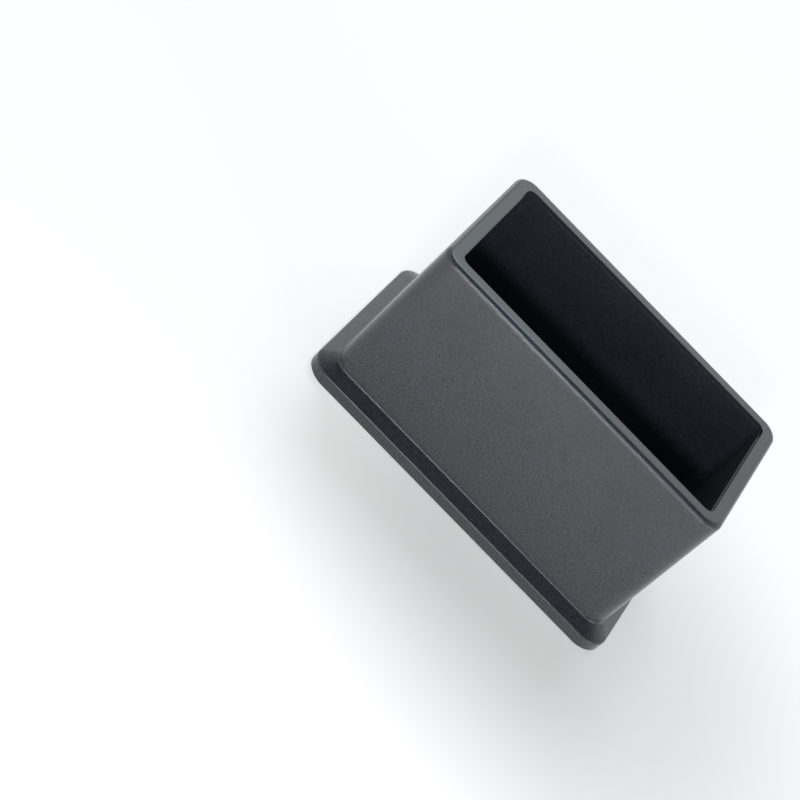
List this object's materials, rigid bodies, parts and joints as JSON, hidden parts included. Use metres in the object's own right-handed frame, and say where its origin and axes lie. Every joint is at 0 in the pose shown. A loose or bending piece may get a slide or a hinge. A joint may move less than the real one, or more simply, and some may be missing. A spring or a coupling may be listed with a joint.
{
  "type": "rectangular tube end cap",
  "caption": "Soft slip-over cap for the end of a rectangular tube: a flat flange with a sloped back, and a deep open socket.",
  "frame": {"origin": "middle of the flange's outside face, on which the cap stands", "axes": "+X along the long side, +Y along the short side, +Z from the foot face towards the mouth of the socket"},
  "size_m": [0.0534, 0.0334, 0.0264],
  "materials": {
    "soft_black_plastic": "satin charcoal black with a fine mould grain"
  },
  "bodies": {
    "root": {"end_cap": "soft_black_plastic"}
  },
  "joints": []
}
